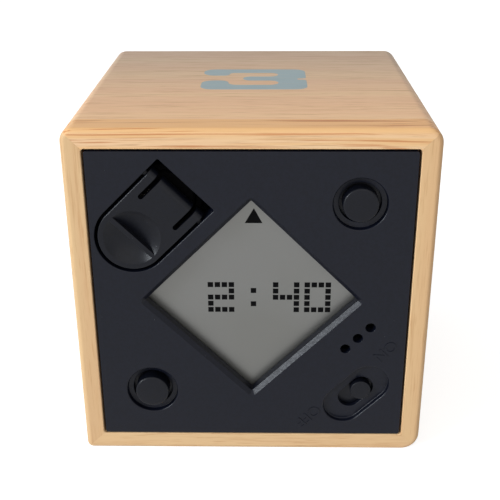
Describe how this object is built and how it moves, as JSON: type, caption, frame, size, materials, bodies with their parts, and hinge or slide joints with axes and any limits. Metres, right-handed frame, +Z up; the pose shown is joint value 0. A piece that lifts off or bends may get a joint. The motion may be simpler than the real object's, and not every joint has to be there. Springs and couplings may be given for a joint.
{
  "type": "cube timer",
  "caption": "Cube-shaped countdown timer: a light wooden box with a number on its sides and a black front module with a square display, push buttons, a slide switch and a battery door.",
  "frame": {"origin": "on the surface that the box stands on, halfway between its sides and halfway between the button caps and the back", "axes": "+Z up through the top number face, -Y out of the black front module, +X to the right when looking at the module"},
  "size_m": [0.07, 0.0706, 0.07],
  "materials": {
    "wood": "fine-sanded light wood, satin",
    "black_plastic": "lightly textured blue-black",
    "grey_plastic": "plain moulded dark grey",
    "nylon": "natural",
    "silicone": "matt grey",
    "polariser": "grey-green film with an anti-glare face",
    "glass": "clear",
    "reflector": "satin foil",
    "laminate": "green solder mask",
    "epoxy": "black resin",
    "zinc_plate": "bright zinc",
    "steel": "polished",
    "contact_metal": "nickel plated",
    "aluminium": "plain can",
    "cell_sleeve": "plain printed sleeve",
    "red_sleeve": "wire insulation",
    "black_sleeve": "wire insulation"
  },
  "bodies": {
    "case": {"top_board": "wood", "left_board": "wood", "bottom_board": "wood", "right_board": "wood", "back_board": "wood", "corner_block_1": "wood", "corner_block_2": "wood", "corner_block_3": "wood", "corner_block_4": "wood", "front_plate": "black_plastic", "battery_case": "black_plastic", "case_screw_1": "zinc_plate", "case_screw_2": "zinc_plate", "battery_cell_1": "cell_sleeve", "battery_cell_2": "cell_sleeve", "battery_spring": "contact_metal", "battery_contact": "contact_metal", "solder_tab_1": "contact_metal", "solder_tab_2": "contact_metal", "black_wire": "black_sleeve", "red_wire": "red_sleeve", "display_polariser": "polariser", "display_glass": "glass", "display_reflector": "reflector", "contact_strip_1": "silicone", "contact_strip_2": "silicone", "display_frame": "grey_plastic", "clear_skirt": "silicone", "set_skirt": "silicone", "switch_housing": "zinc_plate", "circuit_board": "laminate", "board_screw_1": "zinc_plate", "board_screw_2": "zinc_plate", "board_screw_3": "zinc_plate", "board_screw_4": "zinc_plate", "buzzer": "black_plastic", "controller_chip": "epoxy", "crystal": "zinc_plate", "capacitor": "aluminium", "resistor_1": "epoxy", "resistor_2": "epoxy", "resistor_3": "epoxy", "tilt_can_1": "zinc_plate", "tilt_plug_1": "nylon", "tilt_can_2": "zinc_plate", "tilt_plug_2": "nylon"},
    "door": {"battery_door": "black_plastic", "door_contact": "contact_metal"},
    "clear_key": {"clear_button": "black_plastic", "clear_plunger": "silicone"},
    "set_key": {"set_button": "black_plastic", "set_plunger": "silicone"},
    "slide_switch": {"switch_knob": "black_plastic", "switch_lever": "nylon"},
    "ball_1": {"tilt_ball_1": "steel"},
    "ball_2": {"tilt_ball_2": "steel"}
  },
  "joints": [
    {"name": "door_hinge", "type": "hinge", "parent": "case", "child": "door", "pos_m": [-0.01494, -0.03277, 0.05631], "axis": [-0.7071, 0, 0.7071], "range_deg": [0, 75]},
    {"name": "clear_press", "type": "slide", "parent": "case", "child": "clear_key", "axis": [0, 1, 0], "range_m": [0, 0.0008], "stiffness_N_per_m": 800, "springref_m": -0.0005},
    {"name": "set_press", "type": "slide", "parent": "case", "child": "set_key", "axis": [0, 1, 0], "range_m": [0, 0.0008], "stiffness_N_per_m": 800, "springref_m": -0.0005},
    {"name": "switch_slide", "type": "slide", "parent": "case", "child": "slide_switch", "axis": [-0.7071, 0, -0.7071], "range_m": [0, 0.0026]},
    {"name": "ball_roll_1", "type": "slide", "parent": "case", "child": "ball_1", "axis": [0.7071, 0, 0.7071], "range_m": [0, 0.003]},
    {"name": "ball_roll_2", "type": "slide", "parent": "case", "child": "ball_2", "axis": [-0.7071, 0, 0.7071], "range_m": [0, 0.003]}
  ]
}
